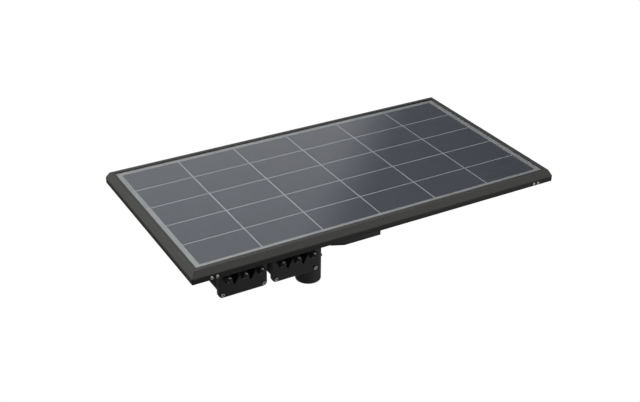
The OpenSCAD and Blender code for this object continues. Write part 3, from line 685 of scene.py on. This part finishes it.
def hexNut(bm, seat, outward, look):
    at = aimed(seat, outward)
    flat = look["wide"] / 2
    hole = look["hole"] / 2
    tall = look["tall"]
    spin(bm, [(hole, 0), (flat * 0.92, 0), (flat, 0.0005, "hex", -0.50),
              (flat, tall - 0.0005, "hex", 0.50), (flat * 0.92, tall), (hole + 0.0005, tall),
              (hole, tall - 0.0005)], at)


def setScrew(bm, end, outward, look):
    # headless screw: socket in its outer end, cup point at the inner one
    at = aimed(end, outward)
    r = look["size"] / 2
    core = r - look["pitch"] * 0.55
    key = look["key"] / 2
    long = look["length"]
    spin(bm, [(core * 0.55, -long + 0.0008), (core * 0.75, -long), (core, -long + 0.0012),
              (core, -0.0009), (core, -0.0004), (core * 0.95, 0), (key * 1.2, 0), (key, -0.0003, "hex"),
              (key, -look["deep"], "hex"), (key * 0.3, -look["deep"] - 0.0008)], at)
    thread(bm, r, -long + 0.0012, -0.0006, look["pitch"], at)


def slab(bm, low, high, radius, rim=0.0004, material=0):
    # plate with rounded corners and a small chamfer on every edge
    loops = []
    for height, inset in ((low.z, rim), (low.z + rim, 0), (high.z - rim, 0), (high.z, rim)):
        loop = []
        for sx, sy, start in ((1, 1, 0), (-1, 1, 90), (-1, -1, 180), (1, -1, 270)):
            midX = (high.x - radius) if sx > 0 else (low.x + radius)
            midY = (high.y - radius) if sy > 0 else (low.y + radius)
            for k in range(5):
                turn = math.radians(start + k * 22.5)
                reach = radius - inset
                spot = (midX + reach * math.cos(turn), midY + reach * math.sin(turn), height)
                loop.append(bm.verts.new(spot))
        loops.append(loop)
    skin(bm, loops, material)


def endOf(pair, outward):
    # the middle of the box's face on the side that outward points to
    low, high = pair
    point = (low + high) / 2
    for axis in range(3):
        if abs(outward[axis]) > 0.5:
            point[axis] = high[axis] if outward[axis] > 0 else low[axis]
    return point


# solar panel

panel = {"edge": 0.0005, "boxEdge": 0.0008}
softened("frame_front", "frontRail", frameAlongX, "frame_black", panel["edge"])
softened("frame_back", "backRail", frameAlongX, "frame_black", panel["edge"])
softened("frame_left", "leftRail", frameAlongY, "frame_black", panel["edge"])
softened("frame_right", "rightRail", frameAlongY, "frame_black", panel["edge"])
dress("corner_keys", stainless)
dress("solar_cells", silicon)
dress("border_strip", silverStrip)
dress("backsheet", backsheetFilm)
dress("cover_glass", frontGlass)
dress("glass_seal", rubber)
softened("junction_box", "junctionBox", [boxPlastic, boxPlastic], "box_plastic", panel["boxEdge"])

frameScrew = {
    "size": 0.0042,
    "length": 0.040,
    "head": 0.009,
    "tall": 0.003,
    "key": 0.0030,
    "pitch": 0.0014,
    "plain": 0.9,          # share of the shank that has no thread
}
bm = bmesh.new()
for pair in islands("frame_screws"):
    side = 1 if pair[0].y > 0 else -1
    socketScrew(bm, endOf(pair, (0, side, 0)), (0, side, 0), frameScrew)
finishPiece("frameScrews", bm, [stainless], "head", "steel_zinc", ["frame_screws"])
print("panel made")


# sub-frame under the panel

subFrame = {
    "barEdge": 0.0005,
    "plateEdge": 0.0006,
    "yokeBoltsWithin": 0.03,  # of the centre line
}
softened("cross_bar_left", "leftCrossBar", railAlongY, "rail_grey", subFrame["barEdge"])
softened("cross_bar_right", "rightCrossBar", railAlongY, "rail_grey", subFrame["barEdge"])
softened("spine_rail_front", "frontSpine", railAlongX, "rail_grey", subFrame["barEdge"])
softened("spine_rail_back", "backSpine", railAlongX, "rail_grey", subFrame["barEdge"])
softened("carrier_plate", "carrierPlate", sheetCoat, "sheet_black", subFrame["plateEdge"])

railBolt = {
    "size": 0.008,
    "head": 0.013,
    "tall": 0.005,
    "washer": 0.0169,
    "pitch": 0.00125,
    "plain": 0.45,
}
bm = bmesh.new()
for pair in islands("rail_bolts"):
    low, high = pair
    # only the four that hold the tilt yoke have their heads on top
    up = 1 if abs(low.x + high.x) / 2 < subFrame["yokeBoltsWithin"] else -1
    look = dict(railBolt, length=high.z - low.z - railBolt["tall"])
    hexBolt(bm, endOf(pair, (0, 0, up)), (0, 0, up), look)
finishPiece("railBolts", bm, [zinc], "head", "steel_zinc", ["rail_bolts"])
print("sub-frame made")


# lamp modules

module = {"sinkEdge": 0.0005, "capEdge": 0.0010, "hangerEdge": 0.0005}
for k in (1, 2):
    softened(f"heat_sink_{k}", f"heatSink{k}", sinkBlack, "sink_black", module["sinkEdge"])
    softened(f"front_cap_{k}", f"frontCap{k}", castCoat, "cast_black", module["capEdge"], 3)
    softened(f"rear_cap_{k}", f"rearCap{k}", castCoat, "cast_black", module["capEdge"], 3)
    softened(f"hanger_front_{k}", f"frontHanger{k}", sheetCoat, "sheet_black", module["hangerEdge"])
    softened(f"hanger_rear_{k}", f"rearHanger{k}", sheetCoat, "sheet_black", module["hangerEdge"])
    dress(f"lens_seal_{k}", rubber)

ledField = {
    "columns": 4,
    "rows": 10,
    "pitchX": 0.024,
    "pitchY": 0.026,
    "package": 0.0035,
    "packageTall": 0.0005,
    "dome": 0.0014,
    "domeTall": 0.0012,
    "boardCorner": 0.003,
    "lensThick": 0.004,
    "lensCorner": 0.0025,
}
lensDome = [(0.0085, 0.0002), (0.0085, -0.0003), (0.0080, -0.0010), (0.0069, -0.0018),
            (0.0052, -0.0025), (0.0031, -0.0029), (0.0012, -0.0030)]


def ledSpots(middle):
    for a in range(ledField["columns"]):
        for b in range(ledField["rows"]):
            yield (middle.x + (a - (ledField["columns"] - 1) / 2) * ledField["pitchX"],
                   middle.y + (b - (ledField["rows"] - 1) / 2) * ledField["pitchY"])


def makeLedBoard(k):
    low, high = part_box(f"led_board_{k}")
    base = low.z + ledField["domeTall"]
    bm = bmesh.new()
    slab(bm, Vector((low.x, low.y, base)), high, ledField["boardCorner"], 0.0002)
    half = ledField["package"] / 2
    dome = ledField["dome"]
    under = ledField["packageTall"]
    for x, y in ledSpots((low + high) / 2):
        slab(bm, Vector((x - half, y - half, base - under)), Vector((x + half, y + half, base)),
             0.0004, 0.0001, 1)
        spin(bm, [(dome, -0.0004), (dome, -0.0006), (dome * 0.85, -0.0009), (dome * 0.5, -0.00115),
                  (dome * 0.15, -ledField["domeTall"])], Matrix.Translation((x, y, base)), 18, 2)
    finishPiece(f"ledBoard{k}", bm, [ledMask, ceramic, phosphor], "head", "led_board",
                [f"led_board_{k}"])


def makeLens(k):
    low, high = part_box(f"lens_plate_{k}")
    under = high.z - ledField["lensThick"]
    bm = bmesh.new()
    slab(bm, Vector((low.x, low.y, under)), high, ledField["lensCorner"], 0.0005)
    for x, y in ledSpots((low + high) / 2):
        spin(bm, lensDome, Matrix.Translation((x, y, under)), 30)
    finishPiece(f"lensPlate{k}", bm, [lensClear], "head", "lens", [f"lens_plate_{k}"], 50)


for k in (1, 2):
    makeLedBoard(k)
    makeLens(k)

tongueScrew = {
    "size": 0.006,
    "length": 0.011,
    "head": 0.010,
    "tall": 0.0026,
    "key": 0.004,
    "pitch": 0.001,
    "plain": 0.3,
}
bm = bmesh.new()
for pair in islands("tongue_screws"):
    socketScrew(bm, endOf(pair, (0, 0, 1)), (0, 0, 1), tongueScrew)
finishPiece("tongueScrews", bm, [zinc], "head", "steel_zinc", ["tongue_screws"])

tieBolt = {"size": 0.006, "head": 0.012, "tall": 0.005, "key": 0.005, "pitch": 0.001, "plain": 0.955}
tieNut = {"wide": 0.010, "tall": 0.006, "hole": 0.006}
bm = bmesh.new()
for pair in islands("tie_bolts"):
    low, high = pair
    look = dict(tieBolt, length=high.y - low.y - tieBolt["tall"])
    socketScrew(bm, endOf(pair, (0, -1, 0)), (0, -1, 0), look)
finishPiece("tieBolts", bm, [stainless], "head", "steel_zinc", ["tie_bolts"])
bm = bmesh.new()
for pair in islands("tie_nuts"):
    hexNut(bm, endOf(pair, (0, -1, 0)), (0, 1, 0), tieNut)
finishPiece("tieNuts", bm, [stainless], "head", "steel_zinc", ["tie_nuts"])
print("lamp modules made")


# battery case

caseShape = {
    "shellEdge": 0.0010,
    "coverEdge": 0.0008,
    "tallestNut": 0.012,   # anything taller is a bolt
}
softened("battery_case", "caseShell", casePaint, "case_black", caseShape["shellEdge"], 3)
softened("case_cover", "caseCover", casePaint, "case_black", caseShape["coverEdge"])
dress("cover_seal", rubber)
dress("battery_cells", cellWrap)
dress("cell_holders", holderPlastic)
dress("battery_board", chargeBoard)
dress("charge_controller", castBox)

caseBolt = {"size": 0.006, "head": 0.010, "tall": 0.004, "washer": 0.013, "pitch": 0.001, "plain": 0.4}
caseNut = {"wide": 0.010, "tall": 0.005, "hole": 0.006}
bm = bmesh.new()
for pair in islands("case_bolts"):
    low, high = pair
    tall = high.z - low.z
    if tall > caseShape["tallestNut"]:
        look = dict(caseBolt, length=tall - caseBolt["tall"])
        hexBolt(bm, endOf(pair, (0, 0, 1)), (0, 0, 1), look)
    else:
        hexNut(bm, endOf(pair, (0, 0, 1)), (0, 0, -1), caseNut)
finishPiece("caseBolts", bm, [zinc], "head", "steel_zinc", ["case_bolts"])

coverScrew = {
    "size": 0.0031,
    "head": 0.0076,
    "tall": 0.0018,
    "key": 0.0034,
    "length": 0.018,
    "pitch": 0.0012,
    "plain": 0.5,
}
bm = bmesh.new()
for pair in islands("cover_screws"):
    socketScrew(bm, endOf(pair, (0, 0, -1)), (0, 0, -1), coverScrew)
finishPiece("coverScrews", bm, [stainless], "head", "steel_zinc", ["cover_screws"])

gland = {
    "thread": 0.006,
    "pitch": 0.0015,
    "hexFlats": 0.018,
    "hexTall": 0.005,
    "cap": 0.008,
    "mouth": 0.0050,
    "tall": 0.017,
    "reach": 0.011,        # from the seat back through the wall
}


def addGland(bm, end):
    # end is the middle of the outer face; the body runs back through the wall
    at = aimed(end, (0, 1, 0))
    tall = gland["tall"]
    flat = gland["hexFlats"] / 2
    cap = gland["cap"]
    mouth = gland["mouth"]
    hexTop = -tall + gland["hexTall"]
    # the fixed hexagon, the gripped dome nut, the rubber in its mouth, the thread and the lock nut
    spin(bm, [(flat * 0.94, -tall), (flat, -tall + 0.0004, "hex", -0.5),
              (flat, hexTop - 0.0005, "hex", 0.5), (flat * 0.92, hexTop), (cap * 0.9, hexTop)], at)
    spin(bm, [(cap * 0.9, -tall + 0.0048), (cap, -tall + 0.0055, "grip"), (cap, -0.0062, "grip"),
              (cap * 0.97, -0.0048), (cap * 0.88, -0.0030), (cap * 0.74, -0.0012),
              (mouth * 1.12, -0.0002), (mouth, 0), (mouth * 0.96, -0.0008)], at)
    spin(bm, [(mouth * 0.97, -0.004), (mouth * 0.97, -0.0010), (mouth * 0.75, -0.0006),
              (mouth * 0.45, -0.0014), (mouth * 0.2, -0.0016)], at, 36, 1)
    thread(bm, gland["thread"], -tall - gland["reach"], -tall + 0.0002, gland["pitch"], at)
    inner = flat * 0.944
    spin(bm, [(inner * 0.93, -tall - 0.008), (inner, -tall - 0.0076, "hex", -0.5),
              (inner, -tall - 0.0034, "hex", 0.5), (inner * 0.93, -tall - 0.003)], at)


bm = bmesh.new()
for pair in islands("cable_glands"):
    addGland(bm, endOf(pair, (0, 1, 0)))
finishPiece("cableGlands", bm, [glandPlastic, rubber], "head", "box_plastic", ["cable_glands"])

button = {
    "bezelEdge": 0.0006,
    "flange": 0.012,
    "flangeTall": 0.003,
    "barrel": 0.008,
    "bore": 0.00555,
    "nut": 0.0105,
    "cap": 0.0055,
    "dish": 0.0005,
}


def makeButton():
    low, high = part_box("button_bezel")
    middle = (low + high) / 2
    face = Vector((middle.x, middle.y, low.z))
    at = aimed(face, (0, 0, -1))
    deep = high.z - low.z
    edge = button["bezelEdge"]
    barrel = button["barrel"]
    flange = button["flange"]
    under = -button["flangeTall"]
    bore = button["bore"]
    nut = button["nut"]
    bm = bmesh.new()
    spin(bm, [(barrel - 0.0005, -deep), (barrel, -deep + 0.0005), (barrel, under),
              (flange - 0.0002, under), (flange, under + 0.0002), (flange, -edge * 1.6),
              (flange - edge * 0.6, -edge * 0.6), (flange - edge * 1.6, 0), (bore + 0.0012, 0),
              (bore + 0.0003, -0.0006), (bore, -0.0014), (bore, -deep + 0.002)], at, 48)
    spin(bm, [(nut * 0.93, -0.0110), (nut, -0.0106, "hex", -0.5), (nut, -0.0074, "hex", 0.5),
              (nut * 0.93, -0.0070)], at)
    finishPiece("buttonBezel", bm, [stainless], "head", "bezel", ["button_bezel"], 50)
    low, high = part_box("power_button")
    at = aimed(Vector((middle.x, middle.y, low.z)), (0, 0, -1))
    cap = button["cap"]
    dish = button["dish"]
    deep = high.z - low.z
    bm = bmesh.new()
    spin(bm, [(cap * 0.92, -deep), (cap, -deep + 0.0004), (cap, -0.0011), (cap * 0.97, -0.0005),
              (cap * 0.90, -0.0001), (cap * 0.82, 0), (cap * 0.70, -dish * 0.35),
              (cap * 0.40, -dish * 0.8), (cap * 0.12, -dish)], at, 48)
    finishPiece("powerButton", bm, [buttonPlastic], "button", "button_red", ["power_button"], 60)


makeButton()
dress("button_spring", stainless)
print("battery case made")


# tilt joint and pole sleeve

tiltJoint = {"yokeEdge": 0.0008, "sleeveEdge": 0.0012}
softened("tilt_yoke", "tiltYoke", sheetCoat, "sheet_black", tiltJoint["yokeEdge"])
softened("pole_sleeve", "poleSleeve", sleeveCoat, "cast_black", tiltJoint["sleeveEdge"], 3)

pivotBolt = {"size": 0.016, "head": 0.024, "tall": 0.007, "pitch": 0.002, "plain": 0.70}
pivotNut = {"wide": 0.024, "tall": 0.011, "hole": 0.016}
lockBolt = {"size": 0.010, "head": 0.016, "tall": 0.005, "pitch": 0.0015, "plain": 0.70}
lockNut = {"wide": 0.016, "tall": 0.008, "hole": 0.010}


def makeCrossBolt(name, node, look):
    low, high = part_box(node)
    bm = bmesh.new()
    long = high.x - low.x - look["tall"]
    hexBolt(bm, endOf((low, high), (1, 0, 0)), (1, 0, 0), dict(look, length=long))
    finishPiece(name, bm, [zinc], bodyOf(node), "steel_zinc", [node])


def makeCrossNut(name, node, look):
    bm = bmesh.new()
    hexNut(bm, endOf(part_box(node), (1, 0, 0)), (-1, 0, 0), look)
    finishPiece(name, bm, [zinc], bodyOf(node), "steel_zinc", [node])


makeCrossBolt("pivotBolt", "pivot_bolt", pivotBolt)
makeCrossNut("pivotNut", "pivot_nut", pivotNut)
makeCrossBolt("lockBolt", "lock_bolt", lockBolt)
makeCrossNut("lockNut", "lock_nut", lockNut)

clampScrew = {"size": 0.010, "length": 0.015, "key": 0.006, "deep": 0.005, "pitch": 0.0015}
for k in (1, 2, 3):
    low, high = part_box(f"clamp_screw_{k}")
    middle = (low + high) / 2
    outward = Vector((middle.x, middle.y, 0)).normalized()
    bm = bmesh.new()
    setScrew(bm, middle + outward * clampScrew["length"] / 2, outward, clampScrew)
    finishPiece(f"clampScrew{k}", bm, [zinc], f"clamp_{k}", "steel_zinc", [f"clamp_screw_{k}"])
print("tilt joint made")


# camera and lights; the world itself is the white backdrop, so nothing hides the underside

camera = {
    "azimuth": -30.09,
    "elevation": 29.28,
    "roll": 0.70,
    "distance": 3.053,
    "lens": 60.885,
    "aimX": -0.116,        # from the middle of the glass
    "aimY": -0.141,
}


def addCamera(look):
    low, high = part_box("cover_glass")
    aim = Vector(((low.x + high.x) / 2 + look["aimX"], (low.y + high.y) / 2 + look["aimY"], high.z))
    a = math.radians(look["azimuth"])
    e = math.radians(look["elevation"])
    back = Vector((math.sin(a) * math.cos(e), -math.cos(a) * math.cos(e), math.sin(e)))
    data = bpy.data.cameras.new("camera")
    data.lens = look["lens"]
    data.sensor_width = 36
    seen = bpy.data.objects.new("camera", data)
    bpy.context.scene.collection.objects.link(seen)
    seen.location = aim + back * look["distance"]
    seen.rotation_mode = "QUATERNION"
    level = (-back).to_track_quat("-Z", "Y").to_matrix().to_4x4()
    turned = level @ Matrix.Rotation(math.radians(look["roll"]), 4, "Z")
    seen.rotation_quaternion = turned.to_quaternion()
    bpy.context.scene.camera = seen


def softbox(name, look):
    data = bpy.data.lights.new(name, "AREA")
    data.shape = "RECTANGLE"
    data.size, data.size_y = look["size"]
    data.energy = look["power"]
    lamp = bpy.data.objects.new(name, data)
    bpy.context.scene.collection.objects.link(lamp)
    lamp.location = look["spot"]
    lamp.rotation_mode = "QUATERNION"
    lamp.rotation_quaternion = (Vector(look["towards"]) - Vector(look["spot"])).to_track_quat("-Z", "Y")


studio = {
    "ambient": 0.068,      # dim surround that lights every side
    "wall": 0.72,          # bright wall the glass mirrors
    "wallSide": (-0.6968, 0.6376, -0.3284),
    "wallSoft": 0.030,
    "wallFoot": (0.10, 0.20),
    "wallTop": (0.66, 0.80),
    "below": 0.22,         # pale ground that plated heads mirror
    "horizon": (-0.12, 0.02),
}
softboxes = {
    "topBox": {"spot": (0.0, 0.3, 2.6), "towards": (0.05, 0.0, 0.3), "size": (1.8, 1.4), "power": 58},
    "leftBox": {"spot": (-1.6, 0.2, 2.0), "towards": (-0.4, 0, 0.3), "size": (1.0, 1.2), "power": 15},
    "rimBox": {"spot": (1.07, -2.0, -0.05), "towards": (0.0, 0, 0.10), "size": (0.8, 1.0), "power": 9},
    "underBox": {"spot": (0.0, 0.0, -1.9), "towards": (0.0, 0, 0.3), "size": (0.5, 0.5), "power": 9},
}


def addStudio(look):
    world = bpy.data.worlds.new("studio")
    bpy.context.scene.world = world
    sky = Finish("studio", world)
    ray = sky.node("ShaderNodeTexCoord", out="Generated")
    side = sky.node("ShaderNodeVectorMath", {"operation": "DOT_PRODUCT"}, {0: ray, 1: look["wallSide"]},
                    "Value")
    height = sky.node("ShaderNodeSeparateXYZ", None, {0: ray}, 2)
    wall = sky.ease(side, -look["wallSoft"], look["wallSoft"])
    band = sky.ease(height, *look["wallFoot"]) * (1 - sky.ease(height, *look["wallTop"]))
    mirrored = sky.node("ShaderNodeLightPath", out="Is Glossy Ray")
    shown = sky.node("ShaderNodeLightPath", out="Is Camera Ray")
    ground = (1 - sky.ease(height, *look["horizon"])) * mirrored
    level = look["ambient"] + wall * band * mirrored * (look["wall"] - look["ambient"])
    level = level + ground * (look["below"] - look["ambient"])
    level = level + shown * (1 - level)
    grey = sky.node("ShaderNodeCombineColor", None, {0: level, 1: level, 2: level})
    light = sky.node("ShaderNodeBackground", None, {"Color": grey, "Strength": 1.0})
    end = sky.tree.nodes.new("ShaderNodeOutputWorld")
    sky.tree.links.new(light.socket, end.inputs["Surface"])


bpy.context.scene.view_settings.view_transform = "Standard"
addCamera(camera)
addStudio(studio)
for name, look in softboxes.items():
    softbox(name, look)
print("camera and lights placed")

print("done")
